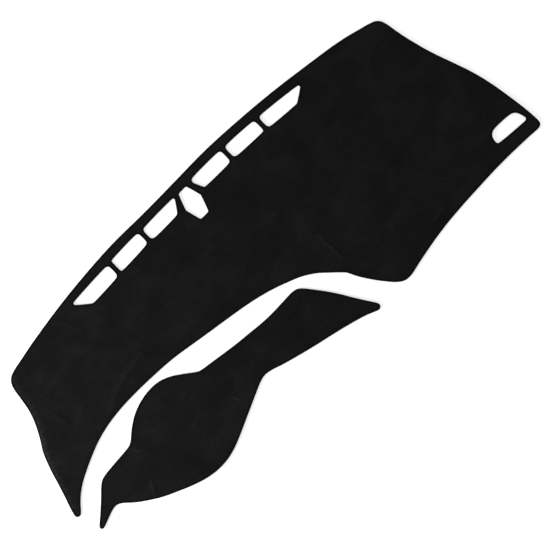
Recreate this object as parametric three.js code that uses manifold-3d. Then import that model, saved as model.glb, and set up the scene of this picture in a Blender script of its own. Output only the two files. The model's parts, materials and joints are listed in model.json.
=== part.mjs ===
// Dashboard cover mat: a main mat that covers the dashboard top, and the separate piece for the instrument hood.
// Both are cut from one sheet of short-pile cloth, and every cut edge is overlocked with thread.
// Millimetres. X runs along the windscreen edge, from the driver's end to the passenger's, and Y towards the
// windscreen. Z is up, with the cloth lying flat on Z = 0. Plans are drawn from the centre of the windscreen edge.

import * as THREE from "three";
import { mergeVertices } from "three/addons/utils/BufferGeometryUtils.js";
import Module from "manifold-3d";

// Cloth and its overlocked edge
const clothThickness = 3.2;
const seamWidth = 4;
const seamWall = 0.6;
const seamChamfer = 0.6;
const seamClearance = 0.3;

// Main mat: reach is the distance from the centre line, and depth the distance back from the windscreen corners
const cornerLineHeight = 6;
const driverFrontReach = 616.5;
const passengerFrontReach = 626;
const windscreenBow = 64;
const passengerRearFlare = 104.5;
const passengerRearDepth = 456.5;
const passengerEndBow = 16;
const rearEdgeBow = 19;
const lobeReach = 233;
const lobeDepth = 499.7;
const lobeSideBow = 7;
const kneeReach = 145;
const kneeDepth = 381.5;
const cutoutBow = 140;
const driverTipFlare = 119;
const driverTipDepth = 373;
const driverEndBow = 15;
const driverFrontRadius = 38;
const passengerFrontRadius = 33;
const passengerRearRadius = 12;
const lobeRadius = 40;
const kneeRadius = 12;
const driverTipRadius = 8.5;

// Instrument hood piece, placed from the main mat's cut-out, tip, knee and lobe
const crownOffset = 350.5;
const hoodGap = 16.5;
const hoodTipInset = 9;
const hoodTipDrop = 52;
const shoulderRun = 105;
const shoulderRise = 98;
const shoulderBow = 10;
const driverCrownHalf = 129;
const driverCrownDrop = 63.5;
const passengerCrownHalf = 112;
const passengerCrownDrop = 53;
const passengerShoulderGap = 111;
const passengerShoulderDrop = 72;
const hoodLobeGap = 70;
const hoodLobeDrop = 10;
const lipKneeReach = 218;
const lipKneeDrop = 166;
const lipBow = 100;
const lipSideBow = 6;
const lipCornerRun = 89;
const lipCornerRise = 32;
const hoodTipRadius = 6;
const shoulderRadius = 45;
const crownFootRadius = 30;
const passengerShoulderRadius = 30;
const hoodLobeRadius = 9;
const lipKneeRadius = 50;
const lipCornerRadius = 24;

// Vent row: the strip of cloth in front of it, the bars between its openings, and the length of each opening
const ventStrip = 25.5;
const ventBar = 13.3;
const ventDepth = 35.5;
const driverVentStart = 21.5;
const passengerVentStart = 28.7;
const driverInnerVent = 111.4;
const passengerInnerVent = 104.1;
const driverMiddleVent = 92.5;
const passengerMiddleVent = 95;
const outerVent = 130;
const outerVentSlant = 41;
const driverInnerSlant = 25;
const driverInnerSlantBow = 2.5;
const passengerInnerSlant = 16.7;
const ventRadius = 8;
const ventTipRadius = 4;

// Six-sided sensor hole in the middle of the vent row
const sensorDepth = 80.5;
const sensorFrontHalf = 12.6;
const sensorWaistHalf = 25.6;
const sensorRearHalf = 13;
const sensorLean = 1.7;
const sensorFrontDrop = 2;
const sensorWaistDrop = 41.8;
const sensorRadius = 4;

// Oblong opening in the passenger's rear corner
const sideHoleLength = 93.5;
const sideHoleDepth = 39;
const sideHoleEndGap = 16.5;
const sideHoleRearGap = 35;
const sideHoleTilt = 6.5;
const sideHoleLean = 10;
const sideHoleFall = 3;
const sideHoleBigRadius = 22;
const sideHoleSmallRadius = 5.5;

// Smoothness of the drawn outlines
const edgeStep = 36;
const arcStep = THREE.MathUtils.degToRad(32);
const cutSpare = 1;

const wasm = await Module();
wasm.setup();

// Corner of a plan, with the edge that leaves it: bows are the edge's distances from the straight line at equal
// steps, as shares of the bow's height, positive to the left of the way
function corner(x, y, radius, height = 0, bows = []) {
  return { at: new THREE.Vector2(x, y), radius, height, bows };
}

function edgeStations(from, to) {
  const chord = to.at.clone().sub(from.at);
  const left = new THREE.Vector2(-chord.y, chord.x).normalize();
  return from.bows.map((bow, index) =>
    from.at
      .clone()
      .addScaledVector(chord, (index + 1) / (from.bows.length + 1))
      .addScaledVector(left, bow * from.height),
  );
}

function roundCorner(before, { at, radius }, after) {
  const toBefore = before.clone().sub(at).normalize();
  const toAfter = after.clone().sub(at).normalize();
  const halfAngle = toBefore.angleTo(toAfter) / 2;
  const leg = radius / Math.tan(halfAngle);
  const centre = toBefore.clone().add(toAfter).setLength(radius / Math.sin(halfAngle)).add(at);
  const start = at.clone().addScaledVector(toBefore, leg).sub(centre);
  const end = at.clone().addScaledVector(toAfter, leg).sub(centre);
  const clockwise = toBefore.cross(toAfter) > 0;
  const arc = new THREE.EllipseCurve(centre.x, centre.y, radius, radius, start.angle(), end.angle(), clockwise);
  return arc.getPoints(Math.max(2, Math.ceil((Math.PI - 2 * halfAngle) / arcStep)));
}

function smoothEdge(start, stations, end) {
  if (stations.length === 0) return [];
  const curve = new THREE.SplineCurve([start, ...stations, end]);
  return curve.getSpacedPoints(Math.ceil(curve.getLength() / edgeStep)).slice(1, -1);
}

// Points of each corner's arc and of the edge that leaves it, corner by corner
function traceEdges(corners) {
  const next = (list, index) => list[(index + 1) % list.length];
  const stations = corners.map((from, index) => edgeStations(from, next(corners, index)));
  const arcs = corners.map((point, index) => {
    const before = stations.at(index - 1).at(-1) ?? corners.at(index - 1).at;
    const after = stations[index][0] ?? next(corners, index).at;
    return roundCorner(before, point, after);
  });
  return arcs.map((arc, index) => [...arc, ...smoothEdge(arc.at(-1), stations[index], next(arcs, index)[0])]);
}

// Height of an edge that runs along X, at a place along it
function heightAlong(points, x) {
  const index = points.findIndex((point, i) => i > 0 && (points[i - 1].x - x) * (point.x - x) <= 0);
  const [from, to] = [points[index - 1], points[index]];
  return THREE.MathUtils.mapLinear(x, from.x, to.x, from.y, to.y);
}

function mainCorners() {
  const frontLine = cornerLineHeight;
  const driverFront = -driverFrontReach;
  return [
    corner(driverFront, frontLine, driverFrontRadius, windscreenBow,
      [0.35, 0.62, 0.81, 0.92, 0.92, 0.96, 1, 0.94, 0.82, 0.63, 0.4]),
    corner(passengerFrontReach, frontLine, passengerFrontRadius, passengerEndBow,
      [-0.13, -0.15, 0.08, 0.49, 0.87, 0.96, 0.8, 0.53]),
    corner(passengerFrontReach + passengerRearFlare, frontLine - passengerRearDepth, passengerRearRadius,
      rearEdgeBow, [-0.43, -0.76, -0.9, -0.97, -0.87, -0.49]),
    corner(lobeReach, frontLine - lobeDepth, lobeRadius, lobeSideBow, [0.8, 1, 0.8]),
    corner(kneeReach, frontLine - kneeDepth, kneeRadius, cutoutBow,
      [-0.39, -0.59, -0.72, -0.8, -0.86, -0.92, -0.98, -1, -1, -0.97, -0.88, -0.7, -0.45]),
    corner(driverFront - driverTipFlare, frontLine - driverTipDepth, driverTipRadius, driverEndBow,
      [0.18, 0.12, 0.24, 0.08, -0.62, -0.93, -0.54]),
  ];
}

function hoodCorners(mainPlan, cutoutEdge) {
  const [, , , lobe, knee, tip] = mainPlan.map((point) => point.at);
  const crownX = tip.x + crownOffset;
  const crownY = heightAlong(cutoutEdge, crownX) - hoodGap;
  const hoodTip = new THREE.Vector2(tip.x + hoodTipInset, tip.y - hoodTipDrop);
  const crownShare = driverCrownHalf / (driverCrownHalf + passengerCrownHalf);
  const crownBow = THREE.MathUtils.lerp(driverCrownDrop, passengerCrownDrop, crownShare);
  return [
    corner(hoodTip.x, hoodTip.y, hoodTipRadius, shoulderBow, [-0.13, -0.15]),
    corner(hoodTip.x + shoulderRun, hoodTip.y + shoulderRise, shoulderRadius),
    corner(crownX - driverCrownHalf, crownY - driverCrownDrop, crownFootRadius, crownBow,
      [0.41, 0.72, 0.9, 0.98, 0.96, 0.77, 0.41]),
    corner(crownX + passengerCrownHalf, crownY - passengerCrownDrop, crownFootRadius, shoulderBow,
      [-0.38, -0.75, -0.89, -0.97, -0.5]),
    corner(knee.x - passengerShoulderGap, crownY - passengerShoulderDrop, passengerShoulderRadius, shoulderBow,
      [0.39, 0.54, 0.32, 0.12]),
    corner(lobe.x - hoodLobeGap, lobe.y - hoodLobeDrop, hoodLobeRadius, lipSideBow, [-1, -0.76, -0.1, 0.21]),
    corner(crownX + lipKneeReach, crownY - lipKneeDrop, lipKneeRadius, lipBow,
      [0.24, 0.49, 0.74, 0.94, 1, 0.94, 0.79, 0.61, 0.35]),
    corner(hoodTip.x + lipCornerRun, hoodTip.y + lipCornerRise, lipCornerRadius),
  ];
}

// Openings of the vent row and the side hole, each a list of corners
function openingPlans(windscreenEdge, rearCorner) {
  // Drop is measured back from the strip of cloth along the windscreen edge
  const behindStrip = (x, drop, radius, ...edge) =>
    corner(x, heightAlong(windscreenEdge, x) - ventStrip - drop, radius, ...edge);
  const driverInner = [-driverVentStart - driverInnerVent, -driverVentStart];
  const driverMiddle = [driverInner[0] - ventBar - driverMiddleVent, driverInner[0] - ventBar];
  const driverOuter = [driverMiddle[0] - ventBar - outerVent, driverMiddle[0] - ventBar];
  const passengerInner = [passengerVentStart, passengerVentStart + passengerInnerVent];
  const passengerMiddle = [passengerInner[1] + ventBar, passengerInner[1] + ventBar + passengerMiddleVent];
  const passengerOuter = [passengerMiddle[1] + ventBar, passengerMiddle[1] + ventBar + outerVent];
  const sideRight = rearCorner.x - sideHoleEndGap;
  const sideRear = rearCorner.y + sideHoleRearGap;
  return {
    driver_outer_vent: [
      behindStrip(driverOuter[0], -4.5, ventTipRadius),
      behindStrip(driverOuter[1], 0.5, ventRadius),
      behindStrip(driverOuter[1], ventDepth + 1, ventRadius),
      behindStrip(driverOuter[0] + outerVentSlant, ventDepth - 2, ventRadius),
    ],
    driver_middle_vent: [
      behindStrip(driverMiddle[0], 0, ventTipRadius),
      behindStrip(driverMiddle[1], -1.5, ventRadius),
      behindStrip(driverMiddle[1], ventDepth - 3, ventRadius),
      behindStrip(driverMiddle[0], ventDepth, ventTipRadius),
    ],
    driver_inner_vent: [
      behindStrip(driverInner[0], 0.5, ventRadius),
      behindStrip(driverInner[1], -0.5, ventTipRadius, driverInnerSlantBow, [-1]),
      behindStrip(driverInner[1] - driverInnerSlant, ventDepth - 1.5, ventRadius),
      behindStrip(driverInner[0], ventDepth - 1, ventRadius),
    ],
    sensor_hole: [
      behindStrip(sensorLean - sensorFrontHalf, sensorFrontDrop, sensorRadius),
      behindStrip(sensorLean + sensorFrontHalf, sensorFrontDrop, sensorRadius),
      behindStrip(sensorWaistHalf, sensorWaistDrop, sensorRadius),
      behindStrip(sensorRearHalf - sensorLean, sensorFrontDrop + sensorDepth, sensorRadius),
      behindStrip(-sensorRearHalf - sensorLean, sensorFrontDrop + sensorDepth, sensorRadius),
      behindStrip(-sensorWaistHalf, sensorWaistDrop, sensorRadius),
    ],
    passenger_inner_vent: [
      behindStrip(passengerInner[0], -1, ventRadius),
      behindStrip(passengerInner[1], -1, ventRadius),
      behindStrip(passengerInner[1], ventDepth + 0.5, ventRadius),
      behindStrip(passengerInner[0] + passengerInnerSlant, ventDepth, ventTipRadius),
    ],
    passenger_middle_vent: [
      behindStrip(passengerMiddle[0], 0, ventRadius),
      behindStrip(passengerMiddle[1], -0.5, ventRadius),
      behindStrip(passengerMiddle[1], ventDepth - 2, ventTipRadius),
      behindStrip(passengerMiddle[0], ventDepth, ventRadius),
    ],
    passenger_outer_vent: [
      behindStrip(passengerOuter[0], 0, ventRadius),
      behindStrip(passengerOuter[1], 0.5, ventTipRadius),
      behindStrip(passengerOuter[1] - outerVentSlant, ventDepth - 2, ventRadius),
      behindStrip(passengerOuter[0], ventDepth - 0.5, ventRadius),
    ],
    side_hole: [
      corner(sideRight - sideHoleLength, sideRear + sideHoleDepth, sideHoleBigRadius),
      corner(sideRight - sideHoleLean, sideRear + sideHoleDepth - sideHoleFall, sideHoleBigRadius),
      corner(sideRight, sideRear, sideHoleSmallRadius),
      corner(sideRight - sideHoleLength, sideRear + sideHoleTilt, sideHoleSmallRadius),
    ],
  };
}

// Closed outline moved outwards by the same distance all round, or inwards where the distance is negative
function growOutline(points, distance) {
  const outward = THREE.ShapeUtils.isClockWise(points) ? distance : -distance;
  return points.map((point, index) => {
    const before = point.clone().sub(points.at(index - 1)).normalize();
    const after = points[(index + 1) % points.length].clone().sub(point).normalize();
    const mitre = new THREE.Vector2(-before.y - after.y, before.x + after.x);
    return mitre.multiplyScalar((2 * outward) / mitre.lengthSq()).add(point);
  });
}

function toSolid(geometry) {
  geometry.deleteAttribute("normal");
  geometry.deleteAttribute("uv");
  const { attributes, index } = mergeVertices(geometry);
  const mesh = new wasm.Mesh({ numProp: 3, vertProperties: attributes.position.array, triVerts: index.array });
  return new wasm.Manifold(mesh);
}

function toGeometry(solid) {
  const mesh = solid.getMesh();
  const geometry = new THREE.BufferGeometry();
  geometry.setAttribute("position", new THREE.BufferAttribute(mesh.vertProperties, 3));
  geometry.setIndex(new THREE.BufferAttribute(mesh.triVerts, 1));
  geometry.computeVertexNormals();
  return geometry;
}

// Upright block of an outline with holes through it, its side walls chamfered top and bottom where asked.
// Plans are drawn clockwise, and a shape's outer contour runs the other way
function block(outline, holes, bottom, top, chamfer = 0) {
  const shape = new THREE.Shape(outline.toReversed());
  shape.holes = holes.map((hole) => new THREE.Path(hole));
  const geometry = new THREE.ExtrudeGeometry(shape, {
    depth: top - bottom - 2 * chamfer,
    bevelEnabled: chamfer > 0,
    bevelThickness: chamfer,
    bevelSize: chamfer,
    bevelSegments: 1,
  });
  return toSolid(geometry.translate(0, 0, bottom + chamfer));
}

// Cloth piece: full thickness inside its seams, and a thinner lip where the thread presses it
function makePanel(outline, holes) {
  const inset = (distance, bottom, top) =>
    block(growOutline(outline, -distance), holes.map((hole) => growOutline(hole, distance)), bottom, top);
  const lipFloor = seamWall + seamClearance;
  const field = inset(seamWidth + seamClearance, 0, clothThickness);
  const lip = inset(seamWall + seamClearance, lipFloor, clothThickness - lipFloor);
  return field.add(lip);
}

// Thread round an outer edge: it lies inside the outline, and the cloth's lip sits in its groove
function makeOuterSeam(outline) {
  const wrap = block(growOutline(outline, -seamChamfer), [], 0, clothThickness, seamChamfer);
  const middle = block(growOutline(outline, -seamWidth), [], -cutSpare, clothThickness + cutSpare);
  const groove = block(growOutline(outline, -seamWall), [], seamWall, clothThickness - seamWall);
  return wrap.subtract(middle).subtract(groove);
}

// Thread round an opening: it lies outside the opening's outline, with its groove facing away from it
function makeOpeningSeam(outline) {
  const far = growOutline(outline, seamWidth + cutSpare);
  const wrap = block(far, [growOutline(outline, seamChamfer)], 0, clothThickness, seamChamfer);
  const limit = block(growOutline(outline, seamWidth), [], -cutSpare, clothThickness + cutSpare);
  const groove = block(growOutline(outline, seamWidth + 2 * cutSpare), [growOutline(outline, seamWall)],
    seamWall, clothThickness - seamWall);
  return wrap.intersect(limit).subtract(groove);
}

function addPiece(parent, name, solid, color, roughness) {
  const material = new THREE.MeshStandardMaterial({ color, roughness, metalness: 0 });
  const mesh = new THREE.Mesh(toGeometry(solid), material);
  mesh.name = name;
  parent.add(mesh);
}

const clothColor = 0x1a1a1b;
const threadColor = 0x161617;
const clothRoughness = 1;
const threadRoughness = 0.8;

const mainPlan = mainCorners();
const mainEdges = traceEdges(mainPlan);
const mainOutline = mainEdges.flat();
const windscreenEdge = mainEdges[0];
const cutoutEdge = mainEdges[4];
const hoodOutline = traceEdges(hoodCorners(mainPlan, cutoutEdge)).flat();
const openings = Object.entries(openingPlans(windscreenEdge, mainPlan[2].at)).map(([name, corners]) => ({
  name,
  outline: traceEdges(corners).flat(),
}));

// The assembly stands with the middle of its plan at the origin
const dashboardCover = new THREE.Group();
const centre = new THREE.Box2().setFromPoints([...mainOutline, ...hoodOutline]).getCenter(new THREE.Vector2());
dashboardCover.position.set(-centre.x, -centre.y, 0);

const openingOutlines = openings.map((opening) => opening.outline);
addPiece(dashboardCover, "main_panel", makePanel(mainOutline, openingOutlines), clothColor, clothRoughness);
addPiece(dashboardCover, "hood_panel", makePanel(hoodOutline, []), clothColor, clothRoughness);
addPiece(dashboardCover, "main_edge_seam", makeOuterSeam(mainOutline), threadColor, threadRoughness);
addPiece(dashboardCover, "hood_edge_seam", makeOuterSeam(hoodOutline), threadColor, threadRoughness);
for (const { name, outline } of openings) {
  addPiece(dashboardCover, `${name}_seam`, makeOpeningSeam(outline), threadColor, threadRoughness);
}

export default dashboardCover;
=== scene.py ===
import json
import math

import bpy
import numpy as np
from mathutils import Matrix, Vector, noise
from mathutils.geometry import delaunay_2d_cdt
from mathutils.kdtree import KDTree

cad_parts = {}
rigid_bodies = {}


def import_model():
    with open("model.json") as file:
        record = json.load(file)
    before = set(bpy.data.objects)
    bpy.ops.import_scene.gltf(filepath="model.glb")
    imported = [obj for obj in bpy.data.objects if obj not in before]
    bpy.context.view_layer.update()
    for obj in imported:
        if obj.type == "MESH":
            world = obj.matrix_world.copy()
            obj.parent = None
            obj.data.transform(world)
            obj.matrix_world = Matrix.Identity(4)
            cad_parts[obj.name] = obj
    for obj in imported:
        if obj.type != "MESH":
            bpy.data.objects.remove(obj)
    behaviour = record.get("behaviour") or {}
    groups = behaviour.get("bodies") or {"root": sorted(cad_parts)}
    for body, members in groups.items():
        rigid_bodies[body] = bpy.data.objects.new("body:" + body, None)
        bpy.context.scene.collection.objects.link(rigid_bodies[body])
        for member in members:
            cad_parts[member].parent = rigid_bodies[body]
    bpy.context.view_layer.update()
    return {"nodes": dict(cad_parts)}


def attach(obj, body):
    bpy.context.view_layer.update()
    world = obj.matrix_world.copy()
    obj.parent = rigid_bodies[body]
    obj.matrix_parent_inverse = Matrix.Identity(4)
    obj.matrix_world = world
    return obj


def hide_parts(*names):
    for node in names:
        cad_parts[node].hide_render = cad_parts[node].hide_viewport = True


# Lengths are in metres. The mat lies in the XY plane, its underside near z = 0
HALF_THICKNESS = 0.0016

OPENING_SEAMS = [
    "driver_outer_vent_seam",
    "driver_middle_vent_seam",
    "driver_inner_vent_seam",
    "sensor_hole_seam",
    "passenger_inner_vent_seam",
    "passenger_middle_vent_seam",
    "passenger_outer_vent_seam",
    "side_hole_seam",
]

for leftover in list(bpy.data.objects):
    bpy.data.objects.remove(leftover)
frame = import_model()


# Outlines, read from the seams of the frame

MICRONS = 1e6  # in a metre
TENTH = 100  # microns in a tenth of a millimetre
WALL_FOOT, WALL_TOP = 6, 26  # tenths of a millimetre, the heights of a seam's wall
TINY = 1e-6
EDGE_SPACING = 0.0005  # between the points of an edge as it is stored
EDGE_REACH = 0.0012  # to each side of a place, to find the edge's direction there
COUNTING_SPACING = 0.002  # between the points of an edge as crossings are counted


def wall_rings(node):
    """The closed rings of points at the foot of a seam's two walls, each as an array of x and y"""
    mesh = frame["nodes"][node].data
    places = [tuple(round(c * MICRONS) for c in v.co) for v in mesh.vertices]
    links = {}
    for polygon in mesh.polygons:
        corners = [places[i] for i in polygon.vertices]
        levels = [round(corner[2] / TENTH) for corner in corners]
        if set(levels) != {WALL_FOOT, WALL_TOP}:
            continue
        feet = [corner for corner, level in zip(corners, levels) if level == WALL_FOOT]
        if len(feet) == 2:
            for here, there in (feet, feet[::-1]):
                links.setdefault(here, set()).add(there)
    rings = []
    unused = set(links)
    while unused:
        ring = []
        onward = [min(unused)]
        while onward:
            ring.append(min(onward))
            unused.discard(ring[-1])
            onward = [place for place in links[ring[-1]] if place in unused]
        rings.append(np.array(ring, float)[:, :2] / MICRONS)
    return rings


def signed_area(ring):
    x, y = ring[:, 0], ring[:, 1]
    return 0.5 * float(np.sum(x * np.roll(y, -1) - np.roll(x, -1) * y))


def seam_outline(node, outer):
    """The seam's free edge, turned so that the cloth lies on its left"""
    rings = sorted(wall_rings(node), key=lambda ring: abs(signed_area(ring)))
    ring = rings[-1] if outer else rings[0]
    if (signed_area(ring) > 0) != outer:
        ring = ring[::-1]
    return ring


def spline_through(ring, spacing):
    """Closed centripetal spline through a ring, sampled about every spacing"""
    samples = []
    count = len(ring)
    for i in range(count):
        p = [ring[(i + k - 1) % count] for k in range(4)]
        t = [0.0]
        for k in range(3):
            t.append(t[-1] + max(np.linalg.norm(p[k + 1] - p[k]), TINY) ** 0.5)
        steps = max(2, math.ceil(np.linalg.norm(p[2] - p[1]) / spacing))
        u = (t[1] + (t[2] - t[1]) * np.arange(steps) / steps)[:, None]
        a = [((t[k + 1] - u) * p[k] + (u - t[k]) * p[k + 1]) / (t[k + 1] - t[k]) for k in range(3)]
        b = [((t[k + 2] - u) * a[k] + (u - t[k]) * a[k + 1]) / (t[k + 2] - t[k]) for k in range(2)]
        samples.append(((t[2] - u) * b[0] + (u - t[1]) * b[1]) / (t[2] - t[1]))
    return np.concatenate(samples)


class Edge:
    """A closed free edge of the cloth, measured along its length, with the cloth on its left"""

    def __init__(self, node, outer):
        self.dense = spline_through(seam_outline(node, outer), EDGE_SPACING)
        self.closed = np.vstack([self.dense, self.dense[:1]])
        steps = np.linalg.norm(np.diff(self.closed, axis=0), axis=1)
        self.along = np.concatenate([[0], np.cumsum(steps)])
        self.length = float(self.along[-1])

    def at(self, s):
        s = np.mod(s, self.length)
        return np.stack([np.interp(s, self.along, self.closed[:, k]) for k in range(2)], axis=-1)

    def forward(self, s, reach):
        """Unit direction along the edge"""
        step = self.at(s + reach) - self.at(s - reach)
        return step / np.linalg.norm(step, axis=-1, keepdims=True)

    def inward(self, s, reach=EDGE_REACH):
        """Unit direction from the edge into the cloth"""
        forward = self.forward(s, reach)
        return np.stack([-forward[..., 1], forward[..., 0]], axis=-1)

    def inset(self, depth, spacing):
        """Evenly spaced points at a depth in from the edge"""
        count = round(self.length / spacing)
        s = np.arange(count) * self.length / count
        return self.at(s) + self.inward(s) * depth


def inside_edges(points, edges):
    """Whether each point lies in the cloth, by counting the edges crossed on the way out"""
    crossings = np.zeros(len(points), int)
    for edge in edges:
        ring = edge.at(np.arange(0, edge.length, COUNTING_SPACING))
        after = np.roll(ring, -1, axis=0)
        for (x0, y0), (x1, y1) in zip(ring, after):
            if y0 == y1:
                continue
            rows = (points[:, 1] >= min(y0, y1)) & (points[:, 1] < max(y0, y1))
            cross_x = x0 + (points[rows, 1] - y0) * (x1 - x0) / (y1 - y0)
            crossings[rows] += points[rows, 0] < cross_x
    return crossings % 2 == 1


# How the cloth lies: soft waves, the creases it was folded to, and puckers where the seams draw in

# Each wave: its pace along x and y, its layer of the noise, and half of its greatest height
BROAD_WAVE = (5.0, 6.0, 3.1, 0.0009)
FINER_WAVE = (17.0, 19.0, 7.7, 0.0004)
PUCKER = (46.0, 46.0, 1.3, 0.0007)
PUCKER_REACH = 0.022  # in from an edge
FLOOR_GAP = 0.0001

# Each crease: the points it runs through, its height, its half width and the strength of the painted
# highlight along it, a paler colour that stands in for the sheen of the crushed pile catching the light
CREASES = [
    ([(-0.497, -0.003), (-0.441, 0.023), (-0.394, 0.037), (-0.345, 0.043)], 0.0020, 0.0080, 0.25),
    ([(-0.440, 0.240), (-0.424, 0.215), (-0.409, 0.180)], 0.0012, 0.0070, 0.15),
    ([(0.157, -0.050), (0.161, -0.092), (0.162, -0.130)], 0.0018, 0.0040, 0.55),
    ([(0.383, -0.219), (0.420, -0.211)], 0.0014, 0.0035, 0.45),
    ([(0.467, -0.160), (0.481, -0.172)], 0.0012, 0.0030, 0.35),
    ([(-0.540, -0.192), (-0.557, -0.224)], 0.0016, 0.0035, 0.50),
    ([(-0.259, -0.182), (-0.246, -0.214)], 0.0014, 0.0035, 0.50),
    ([(-0.521, -0.107), (-0.504, -0.127)], 0.0014, 0.0040, 0.35),
    ([(-0.208, 0.200), (-0.204, 0.186)], 0.0010, 0.0035, 0.35),
    ([(-0.236, -0.004), (-0.240, -0.020)], 0.0010, 0.0040, 0.35),
    ([(-0.596, 0.091), (-0.584, 0.042)], 0.0020, 0.0060, 0.03),
]
CREASE_REACH = 4  # half widths, beyond which a crease no longer lifts the cloth
CREASE_START, CREASE_SPAN = 0.12, 0.76  # the shares of a half wave that a crease rises and falls by
HIGHLIGHT_WIDTH = 0.6  # of the crease's half width
HIGHLIGHT_FADE = 0.3  # power of the crease's share, so that the painted highlight line lasts to its ends

# The driver's end of the cloth rolls over a little along this line, most of all at its middle
END_ROLL = [
    (-0.602, 0.207),
    (-0.613, 0.138),
    (-0.638, 0.079),
    (-0.671, 0.027),
    (-0.695, -0.049),
    (-0.718, -0.100),
]
END_ROLL_LIMIT_X = -0.58
END_ROLL_MIDDLE, END_ROLL_SPREAD = 0.54, 0.16  # shares of the line's length
END_ROLL_HALF_WIDTH = 0.011
END_ROLL_RIM = 0.008  # in from the edge, and as far to each side of that
END_ROLL_HEIGHT = 0.0022
# Strength of the painted highlight on the rolled rim of the driver's end, where the key light falls
END_ROLL_HIGHLIGHT = 0.9


def nearest_on(points, x, y):
    """Distance from a run of points, and how far along it the nearest place is, from 0 to 1"""
    nearest, place = 1.0, 0.0
    for k, ((x0, y0), (x1, y1)) in enumerate(zip(points, points[1:])):
        dx, dy = x1 - x0, y1 - y0
        t = min(1.0, max(0.0, ((x - x0) * dx + (y - y0) * dy) / (dx * dx + dy * dy)))
        gap = math.hypot(x - x0 - t * dx, y - y0 - t * dy)
        if gap < nearest:
            nearest, place = gap, (k + t) / (len(points) - 1)
    return nearest, place


def bell(distance, power=2):
    """1 at no distance, falling off evenly to both sides"""
    return math.exp(-(distance ** power))


def crease_at(x, y):
    """Lift of the creases at a place, and the share of painted highlight there, from 0 to 1"""
    total, highlight_painted = 0.0, 0.0
    for points, height, width, painted_highlight in CREASES:
        nearest, place = nearest_on(points, x, y)
        if nearest > CREASE_REACH * width:
            continue
        share = bell(nearest / width) * math.sin(math.pi * (CREASE_START + CREASE_SPAN * place))
        total += height * share
        highlight_painted = max(highlight_painted, painted_highlight * bell(nearest / (HIGHLIGHT_WIDTH * width)) * share ** HIGHLIGHT_FADE)
    return total, highlight_painted


def end_roll(x, y, rim):
    """Share of the roll at the driver's end, strongest a little way in from the edge"""
    if x > END_ROLL_LIMIT_X:
        return 0.0
    nearest, place = nearest_on(END_ROLL, x, y)
    fullest = 0.5 + 0.5 * bell((place - END_ROLL_MIDDLE) / END_ROLL_SPREAD)
    return fullest * bell(nearest / END_ROLL_HALF_WIDTH, 4) * bell((rim - END_ROLL_RIM) / END_ROLL_RIM)


def wave_at(wave, x, y):
    pace_x, pace_y, layer, half_height = wave
    return half_height * (1 + noise.noise(Vector((x * pace_x, y * pace_y, layer))))


def lift(x, y, rim):
    """Height of the cloth's underside above the floor. rim is the distance from the nearest edge"""
    waves = wave_at(BROAD_WAVE, x, y) + wave_at(FINER_WAVE, x, y)
    drawn = wave_at(PUCKER, x, y) * math.exp(-rim / PUCKER_REACH)
    return FLOOR_GAP + waves + drawn + crease_at(x, y)[0] + END_ROLL_HEIGHT * end_roll(x, y, rim)


# Share of painted highlight: paler colour along the creases and on the rolled rim of the driver's end
def painted_highlight_at(x, y, rim):
    return max(crease_at(x, y)[1], END_ROLL_HIGHLIGHT * end_roll(x, y, rim))


# Cloth

PANEL_SPACING = 0.005
ROW_SPACING = 0.004  # between the points of a row along an edge
HEM_DEPTH = 0.0007
RIM_ROWS = (0.0016, 0.0030, 0.0044, 0.0062)  # in from the edge
ROW_SLACK = 0.0002
CREASE_STEP = 0.0025
CREASE_ROWS = (-1.5, -1.0, -0.5, 0.0, 0.5, 1.0, 1.5)  # half widths aside of a crease
CREASE_POINT_GAP = 0.0011
CREASE_CLEARANCE = 0.0075  # from the edge
GRID_ROW = 0.866  # of the spacing, between the rows of the grid
GRID_CLEARANCE = 0.45  # of the spacing, from the last row along the edge

# Half the cloth's thickness, at depths in from its edge
HALF_PROFILE = (
    (0.0, 0.0007, 0.0016, 0.0030, 0.0044, 0.0062, 0.0090),
    (0.0006, 0.00075, 0.00100, 0.00108, 0.00118, 0.00150, HALF_THICKNESS),
)


def add_piece(name, mesh):
    piece = bpy.data.objects.new(name, mesh)
    bpy.context.scene.collection.objects.link(piece)
    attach(piece, "root")
    return piece


def smooth(mesh):
    mesh.polygons.foreach_set("use_smooth", np.ones(len(mesh.polygons), bool))
    mesh.update()


def nearest_finder(points):
    """A function that gives the distance from a place to the nearest of the points"""
    tree = KDTree(len(points))
    for index, (x, y) in enumerate(points):
        tree.insert((x, y, 0), index)
    tree.balance()

    def distance(place):
        return tree.find((place[0], place[1], 0))[2]

    return distance


def crease_points():
    """Close rows of points along each crease, so that the mesh can follow it"""
    points = []
    for run, _, width, _ in CREASES:
        for (x0, y0), (x1, y1) in zip(run, run[1:]):
            length = math.hypot(x1 - x0, y1 - y0)
            along = np.array([x1 - x0, y1 - y0]) / length
            aside = np.array([-along[1], along[0]])
            for k in range(math.ceil(length / CREASE_STEP)):
                for row in CREASE_ROWS:
                    points.append(np.array([x0, y0]) + along * k * CREASE_STEP + aside * row * width)
    kept = []
    for p in points:
        if all(abs(p[0] - q[0]) + abs(p[1] - q[1]) > CREASE_POINT_GAP for q in kept):
            kept.append(p)
    return np.array(kept)


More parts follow.
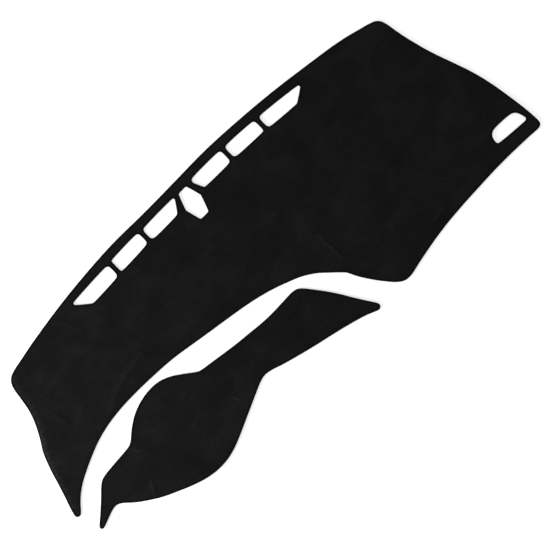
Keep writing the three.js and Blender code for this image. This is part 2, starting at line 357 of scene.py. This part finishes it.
def cloth_points(edges, rings, rim_of, spacing):
    """Points inside the hems: rows along the edges, rows along the creases, and a grid between them"""
    points = []
    for depth in RIM_ROWS:
        for edge in edges:
            row = edge.inset(depth, ROW_SPACING)
            points += [p for p in row if rim_of(p) > depth - ROW_SLACK]
    fine = crease_points()
    fine = [p for p in fine[inside_edges(fine, edges)] if rim_of(p) > CREASE_CLEARANCE]
    points += fine
    crease_gap = nearest_finder(fine)
    hems = np.concatenate(rings)
    low, high = hems.min(axis=0), hems.max(axis=0)
    columns = np.arange(low[0], high[0], spacing)
    rows = np.arange(low[1], high[1], spacing * GRID_ROW)
    grid = np.array([(x + (j % 2) * spacing / 2, y) for j, y in enumerate(rows) for x in columns])
    grid_rim = RIM_ROWS[-1] + spacing * GRID_CLEARANCE
    for p in grid[inside_edges(grid, edges)]:
        if rim_of(p) > grid_rim and crease_gap(p) > CREASE_STEP:
            points.append(p)
    return np.array(points)


def triangulate(rings, free, edges):
    """Flat triangles of the cloth, between the rings of its hems and through the free points"""
    points = [Vector(p) for p in np.concatenate([*rings, free])]
    hem_sides = []
    start = 0
    for ring in rings:
        count = len(ring)
        hem_sides += [(start + i, start + (i + 1) % count) for i in range(count)]
        start += count
    found, _, faces, *_ = delaunay_2d_cdt(points, hem_sides, [], 0, TINY)
    flat = np.array([tuple(p) for p in found])
    triangles = np.array(faces)
    triangles = triangles[inside_edges(flat[triangles].mean(axis=1), edges)]
    # Only the points that a triangle uses are kept, and numbered anew
    used = np.unique(triangles)
    renumber = np.full(len(flat), -1)
    renumber[used] = np.arange(len(used))
    return flat[used], renumber[triangles]


def flat_area(flat, triangles):
    first, second, third = (flat[triangles[:, k]] for k in range(3))
    (ax, ay), (bx, by) = (second - first).T, (third - first).T
    return 0.5 * float(np.abs(ax * by - ay * bx).sum())


def make_panel(name, edges, spacing):
    """Closed sheet of cloth inside its edges, thinner where the seam presses it, and its flat area"""
    rim_of = nearest_finder(np.concatenate([edge.dense for edge in edges]))
    rings = [edge.inset(HEM_DEPTH, ROW_SPACING) for edge in edges]
    flat, triangles = triangulate(rings, cloth_points(edges, rings, rim_of, spacing), edges)
    count = len(flat)

    rims = np.array([rim_of(p) for p in flat])
    middle = np.array([lift(x, y, rim) for (x, y), rim in zip(flat, rims)]) + HALF_THICKNESS
    half = np.interp(rims, *HALF_PROFILE)
    top = np.column_stack([flat, middle + half])
    underside = np.column_stack([flat, middle - half])
    sides = [side for a, b, c in triangles for side in ((a, b), (b, c), (c, a))]
    shared = set(sides)
    walls = [(b, a, a + count, b + count) for a, b in sides if (b, a) not in shared]
    faces = triangles.tolist() + (triangles[:, ::-1] + count).tolist() + walls
    mesh = bpy.data.meshes.new(name)
    mesh.from_pydata(np.vstack([top, underside]).tolist(), [], faces)
    mesh.validate()
    smooth(mesh)

    slots = np.zeros(len(mesh.polygons), int)
    slots[len(triangles):2 * len(triangles)] = 1
    mesh.polygons.foreach_set("material_index", slots)
    # Painted highlight along the creases and the driver's end rim, passed to the pile material as an
    # attribute
    highlight_painted = [painted_highlight_at(x, y, rim) for (x, y), rim in zip(flat, rims)]
    painted_highlight = mesh.attributes.new("painted_highlight", "FLOAT", "POINT")
    painted_highlight.data.foreach_set("value", np.concatenate([highlight_painted, np.zeros(count)]))
    return add_piece(name, mesh), flat_area(flat, triangles)


# Seams

STITCH_PITCH = 0.0023
SEAM_REACH = 0.003  # to each side of a place, to find the edge's direction there
SEAM_SEAT = 0.002  # in from the edge, where the seam takes its height from the cloth
AHEAD_REACH = 0.001

# Section of the band of looped thread round the cloth's edge: depth in, and height from the middle
BAND_PROFILE = (
    (0.0044, 0.00100),
    (0.0036, 0.00120),
    (0.0020, 0.00122),
    (0.0008, 0.00100),
    (0.0001, 0.00045),
    (0.0001, -0.00045),
    (0.0008, -0.00100),
    (0.0020, -0.00122),
    (0.0036, -0.00120),
    (0.0044, -0.00100),
)

# A stitch: depth in, height from the middle, and run along the edge as a share of the pitch
STITCH_PATH = (
    (0.0045, 0.00095, 0.00),
    (0.0041, 0.00130, 0.04),
    (0.0026, 0.00128, 0.24),
    (0.0010, 0.00112, 0.44),
    (0.0000, 0.00045, 0.56),
    (0.0000, -0.00045, 0.62),
    (0.0010, -0.00112, 0.70),
    (0.0040, -0.00122, 0.86),
)
STITCH_SIDES = 5
STITCH_HALF_WIDTH, STITCH_HALF_HEIGHT = 0.00062, 0.00030

# The needle thread dips into the cloth between its stitches
NEEDLE_DIPS = (-0.00035, 0.00022, 0.00022)
NEEDLE_DEPTH, NEEDLE_HEIGHT = 0.0045, 0.00125
NEEDLE_SIDES = 4
NEEDLE_HALF_WIDTH, NEEDLE_HALF_HEIGHT = 0.00030, 0.00026


def tube(paths, sides, across, up, reference, closed=False):
    """Vertices and faces of threads along paths, an array of threads by points by 3"""
    if closed:
        tangent = np.roll(paths, -1, axis=1) - np.roll(paths, 1, axis=1)
    else:
        tangent = np.gradient(paths, axis=1)
    tangent /= np.linalg.norm(tangent, axis=2, keepdims=True)
    normal = np.cross(tangent, reference)
    normal /= np.linalg.norm(normal, axis=2, keepdims=True)
    wide = np.cross(normal, tangent)
    threads, points, _ = paths.shape
    rounds = []
    for k in range(sides):
        angle = 2 * math.pi * (k + 0.5) / sides
        rounds.append(paths + normal * up * math.cos(angle) + wide * across * math.sin(angle))
    vertices = np.stack(rounds, axis=2).reshape(-1, 3)
    base = np.arange(threads)[:, None, None] * points * sides
    rows = np.arange(points if closed else points - 1)[None, :, None]
    around = np.arange(sides)[None, None, :]
    following = (rows + 1) % points
    quads = np.stack([
        base + rows * sides + around,
        base + rows * sides + (around + 1) % sides,
        base + following * sides + (around + 1) % sides,
        base + following * sides + around,
    ], axis=-1).reshape(-1, 4)
    faces = quads.tolist()
    if not closed:
        for thread in range(threads):
            first = thread * points * sides
            last = first + (points - 1) * sides
            faces.append([first + k for k in range(sides)][::-1])
            faces.append([last + k for k in range(sides)])
    return vertices, faces


def seam_heights(edge, s, depth):
    """Middle height of the cloth at a depth in from the edge"""
    places = edge.at(s) + edge.inward(s) * depth
    return np.array([lift(x, y, depth) for x, y in places]) + HALF_THICKNESS


def seam_points(edge, s, depth, heights):
    return np.column_stack([edge.at(s) + edge.inward(s, SEAM_REACH) * depth, heights])


def make_band(edge, stations):
    """The band of looped thread, closed round the cloth's edge"""
    middle = seam_heights(edge, stations, SEAM_SEAT)
    lines = [seam_points(edge, stations, depth, middle + height) for depth, height in BAND_PROFILE]
    faces = []
    count, size = len(stations), len(BAND_PROFILE)
    for i in range(count):
        here, after = i * size, (i + 1) % count * size
        for k in range(size):
            m = (k + 1) % size
            faces.append([here + k, here + m, after + m, after + k])
    return np.stack(lines, axis=1).reshape(-1, 3), faces


def make_stitches(edge, stations, step):
    """A stitch over the band at each station"""
    columns = []
    for depth, height, run in STITCH_PATH:
        s = stations + run * step
        columns.append(seam_points(edge, s, depth, seam_heights(edge, s, SEAM_SEAT) + height))
    ahead = edge.forward(stations + 0.5 * step, AHEAD_REACH)
    reference = np.column_stack([ahead, np.zeros(len(stations))])[:, None, :]
    paths = np.stack(columns, axis=1)
    return tube(paths, STITCH_SIDES, STITCH_HALF_WIDTH, STITCH_HALF_HEIGHT, reference)


def make_needle_thread(edge, stitches):
    """The thread that runs along the seam's inner side"""
    count = stitches * len(NEEDLE_DIPS)
    s = np.arange(count) * edge.length / count
    heights = seam_heights(edge, s, NEEDLE_DEPTH) + NEEDLE_HEIGHT + np.tile(NEEDLE_DIPS, stitches)
    path = seam_points(edge, s, NEEDLE_DEPTH, heights)[None]
    upward = np.array([0.0, 0.0, 1.0])
    return tube(path, NEEDLE_SIDES, NEEDLE_HALF_WIDTH, NEEDLE_HALF_HEIGHT, upward, closed=True)


def make_seam(name, edge, pitch):
    """Overlocked edge: a wrapped band, a stitch over it at each pitch, and the needle thread along it"""
    count = round(edge.length / pitch)
    step = edge.length / count
    stations = np.arange(count) * step
    parts = [
        make_band(edge, stations),
        make_stitches(edge, stations, step),
        make_needle_thread(edge, count),
    ]
    faces = []
    shift = 0
    for points, polygons in parts:
        faces += [[i + shift for i in polygon] for polygon in polygons]
        shift += len(points)
    mesh = bpy.data.meshes.new(name)
    mesh.from_pydata(np.vstack([points for points, _ in parts]).tolist(), [], faces)
    smooth(mesh)
    return add_piece(name, mesh)


# Materials

def grey(level):
    return (level, level, level)


def new_material(name):
    material = bpy.data.materials.new(name)
    material.use_nodes = True
    return material, material.node_tree, material.node_tree.nodes["Principled BSDF"]


def object_place(tree):
    return tree.nodes.new("ShaderNodeTexCoord").outputs["Object"]


def noise_node(tree, vector, scale, detail, distortion=0.0):
    texture = tree.nodes.new("ShaderNodeTexNoise")
    texture.inputs["Scale"].default_value = scale
    texture.inputs["Detail"].default_value = detail
    texture.inputs["Distortion"].default_value = distortion
    tree.links.new(vector, texture.inputs["Vector"])
    return texture.outputs["Fac"]


def ramp_node(tree, value, *stops):
    ramp = tree.nodes.new("ShaderNodeValToRGB")
    elements = ramp.color_ramp.elements
    while len(elements) < len(stops):
        elements.new(0.5)
    for element, (place, colour) in zip(elements, stops):
        element.position = place
        element.color = (*colour, 1)
    tree.links.new(value, ramp.inputs["Fac"])
    return ramp.outputs["Color"]


def math_node(tree, operation, *inputs):
    node = tree.nodes.new("ShaderNodeMath")
    node.operation = operation
    for socket, value in zip(node.inputs, inputs):
        if isinstance(value, float):
            socket.default_value = value
        else:
            tree.links.new(value, socket)
    return node.outputs[0]


def mix_node(tree, blend_type, first):
    """Colour mix that starts from the first colour"""
    node = tree.nodes.new("ShaderNodeMix")
    node.data_type = "RGBA"
    node.blend_type = blend_type
    tree.links.new(first, node.inputs["A"])
    return node


def multiply_colours(tree, first, second):
    node = mix_node(tree, "MULTIPLY", first)
    node.inputs["Factor"].default_value = 1
    tree.links.new(second, node.inputs["B"])
    return node.outputs["Result"]


def bump_node(tree, height, distance, strength, before=None):
    node = tree.nodes.new("ShaderNodeBump")
    node.inputs["Strength"].default_value = strength
    node.inputs["Distance"].default_value = distance
    tree.links.new(height, node.inputs["Height"])
    if before is not None:
        tree.links.new(before, node.inputs["Normal"])
    return node.outputs["Normal"]


def pile_cloth():
    """Black short pile, brushed in soft patches, with fine tufts"""
    material, tree, shader = new_material("pile_cloth_napped")
    place = object_place(tree)
    brushed = tree.nodes.new("ShaderNodeMapping")
    brushed.inputs["Rotation"].default_value = (0, 0, 0.9)
    brushed.inputs["Scale"].default_value = (1, 2.6, 1)
    tree.links.new(place, brushed.inputs["Vector"])
    patches = noise_node(tree, place, 11, 4, 0.5)
    strokes = noise_node(tree, brushed.outputs["Vector"], 16, 5, 0.8)
    tufts = noise_node(tree, place, 1000, 5, 0.6)
    clumps = noise_node(tree, place, 240, 3)

    # Tone of the brushed patches, speckled by the tufts and their clumps
    mixed = math_node(tree, "MULTIPLY_ADD", strokes, 0.5, patches)
    mixed = math_node(tree, "MULTIPLY", mixed, 0.667)
    tone = ramp_node(tree, mixed, (0.34, grey(0.0041)), (0.50, grey(0.0060)), (0.66, grey(0.0092)))
    speckle = ramp_node(tree, tufts, (0.3, grey(0.55)), (0.7, grey(1.4)))
    grain = ramp_node(tree, clumps, (0.3, grey(0.72)), (0.7, grey(1.25)))
    colour = multiply_colours(tree, multiply_colours(tree, tone, speckle), grain)

    # Painted highlight: paler along the creases and on the rolled rim of the driver's end, in a ragged
    # line, standing for light caught by the crushed pile there
    painted_highlight = tree.nodes.new("ShaderNodeAttribute")
    painted_highlight.attribute_name = "painted_highlight"
    ragged = ramp_node(tree, noise_node(tree, place, 130, 4), (0.36, grey(0.15)), (0.60, grey(1.0)))
    highlight_painted = mix_node(tree, "MIX", colour)
    highlight_painted.inputs["B"].default_value = (*grey(0.024), 1)
    painted_highlight_factor = math_node(tree, "MULTIPLY", painted_highlight.outputs["Fac"], ragged)
    tree.links.new(painted_highlight_factor, highlight_painted.inputs["Factor"])
    tree.links.new(highlight_painted.outputs["Result"], shader.inputs["Base Color"])

    coarse = bump_node(tree, strokes, 0.004, 0.35)
    clumped = bump_node(tree, clumps, 0.0007, 0.5, coarse)
    tufted = bump_node(tree, tufts, 0.0005, 0.7, clumped)
    tree.links.new(tufted, shader.inputs["Normal"])
    shader.inputs["Roughness"].default_value = 0.95
    shader.inputs["Specular IOR Level"].default_value = 0.06
    shader.inputs["Sheen Weight"].default_value = 0.12
    shader.inputs["Sheen Roughness"].default_value = 0.45
    return material


def backing_felt():
    """Plain felt backing of the underside"""
    material, tree, shader = new_material("backing_felt")
    fibres = noise_node(tree, object_place(tree), 500, 5, 1.2)
    colour = ramp_node(tree, fibres, (0.3, (0.018, 0.018, 0.019)), (0.7, (0.032, 0.032, 0.033)))
    tree.links.new(colour, shader.inputs["Base Color"])
    tree.links.new(bump_node(tree, fibres, 0.0004, 0.6), shader.inputs["Normal"])
    shader.inputs["Roughness"].default_value = 0.9
    shader.inputs["Specular IOR Level"].default_value = 0.15
    return material


def edge_thread():
    """Black overlock thread of fine loose filaments"""
    material, tree, shader = new_material("edge_thread_black")
    place = object_place(tree)
    filaments = noise_node(tree, place, 1800, 3, 1.5)
    shade = noise_node(tree, place, 60, 2)
    tone = ramp_node(tree, filaments, (0.3, grey(0.0022)), (0.7, grey(0.0062)))
    patch = ramp_node(tree, shade, (0.3, grey(0.85)), (0.7, grey(1.1)))
    tree.links.new(multiply_colours(tree, tone, patch), shader.inputs["Base Color"])
    tree.links.new(bump_node(tree, filaments, 0.0002, 0.6), shader.inputs["Normal"])
    shader.inputs["Roughness"].default_value = 0.7
    shader.inputs["Specular IOR Level"].default_value = 0.05
    return material


# The two pieces of cloth and their seams

pile, backing, thread = pile_cloth(), backing_felt(), edge_thread()
main_edge = Edge("main_edge_seam", True)
hood_edge = Edge("hood_edge_seam", True)
opening_edges = {node: Edge(node, False) for node in OPENING_SEAMS}

main_edges = [main_edge, *opening_edges.values()]
main_cloth, main_area = make_panel("main_cloth", main_edges, PANEL_SPACING)
hood_cloth, hood_area = make_panel("hood_cloth", [hood_edge], PANEL_SPACING)
for cloth, node in ((main_cloth, "main_panel"), (hood_cloth, "hood_panel")):
    cloth.data.materials.append(pile)
    cloth.data.materials.append(backing)
    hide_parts(node)

all_edges = {"main_edge_seam": main_edge, **opening_edges, "hood_edge_seam": hood_edge}
for node, edge in all_edges.items():
    seam = make_seam(node.replace("_seam", "_overlock"), edge, STITCH_PITCH)
    seam.data.materials.append(thread)
    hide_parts(node)


# Floor, light and camera

FLOOR_HALF = 20.0
FLOOR_TONE = 0.85
FLOOR_GLOW = 0.5
SKY_STRENGTH = 0.54
CAMERA_LENS = 85.0
SENSOR_WIDTH = 36.0
VIEW_WIDTH = 1.32
VIEW_CENTRE = (0.0179, -0.0463)
CAMERA_TURN = -44.3


def background_switch(tree):
    """1 for the rays that see the background: from the camera, in gloss or through glass"""
    path = tree.nodes.new("ShaderNodeLightPath")
    seen = math_node(tree, "MAXIMUM", path.outputs["Is Camera Ray"], path.outputs["Is Glossy Ray"])
    return math_node(tree, "MAXIMUM", seen, path.outputs["Is Transmission Ray"])


def add_floor():
    mesh = bpy.data.meshes.new("studio_floor")
    quarters = ((-1, -1), (1, -1), (1, 1), (-1, 1))
    mesh.from_pydata([(x * FLOOR_HALF, y * FLOOR_HALF, 0) for x, y in quarters], [], [(0, 1, 2, 3)])
    floor = bpy.data.objects.new("studio_floor", mesh)
    bpy.context.scene.collection.objects.link(floor)
    material, tree, shader = new_material("floor_white")
    shader.inputs["Base Color"].default_value = (*grey(FLOOR_TONE), 1)
    shader.inputs["Roughness"].default_value = 0.9
    shader.inputs["Specular IOR Level"].default_value = 0.0
    glow = tree.nodes.new("ShaderNodeEmission")
    strength = math_node(tree, "MULTIPLY", background_switch(tree), FLOOR_GLOW)
    tree.links.new(strength, glow.inputs["Strength"])
    both = tree.nodes.new("ShaderNodeAddShader")
    tree.links.new(shader.outputs["BSDF"], both.inputs[0])
    tree.links.new(glow.outputs["Emission"], both.inputs[1])
    tree.links.new(both.outputs["Shader"], tree.nodes["Material Output"].inputs["Surface"])
    mesh.materials.append(material)
    return floor


def add_sky():
    world = bpy.data.worlds.new("studio")
    bpy.context.scene.world = world
    world.use_nodes = True
    tree = world.node_tree
    background = tree.nodes["Background"]
    background.inputs["Color"].default_value = (1, 1, 1, 1)
    seen = background_switch(tree)
    strength = math_node(tree, "MULTIPLY_ADD", seen, 1 - SKY_STRENGTH, SKY_STRENGTH)
    tree.links.new(strength, background.inputs["Strength"])


def add_lamp(name, place, radius, power):
    data = bpy.data.lights.new(name, "POINT")
    data.shadow_soft_size = radius
    data.energy = power
    lamp = bpy.data.objects.new(name, data)
    lamp.location = place
    lamp.visible_camera = False
    bpy.context.scene.collection.objects.link(lamp)


def add_camera():
    data = bpy.data.cameras.new("camera")
    data.lens = CAMERA_LENS
    data.sensor_width = SENSOR_WIDTH
    camera = bpy.data.objects.new("camera", data)
    camera.location = (*VIEW_CENTRE, VIEW_WIDTH * CAMERA_LENS / SENSOR_WIDTH)
    camera.rotation_euler = (0, 0, math.radians(CAMERA_TURN))
    bpy.context.scene.collection.objects.link(camera)
    bpy.context.scene.camera = camera


add_floor()
add_sky()
add_lamp("key", place=(-2.0, 0.6, 0.8), radius=0.45, power=175)
add_camera()
bpy.context.scene.view_settings.view_transform = "Standard"
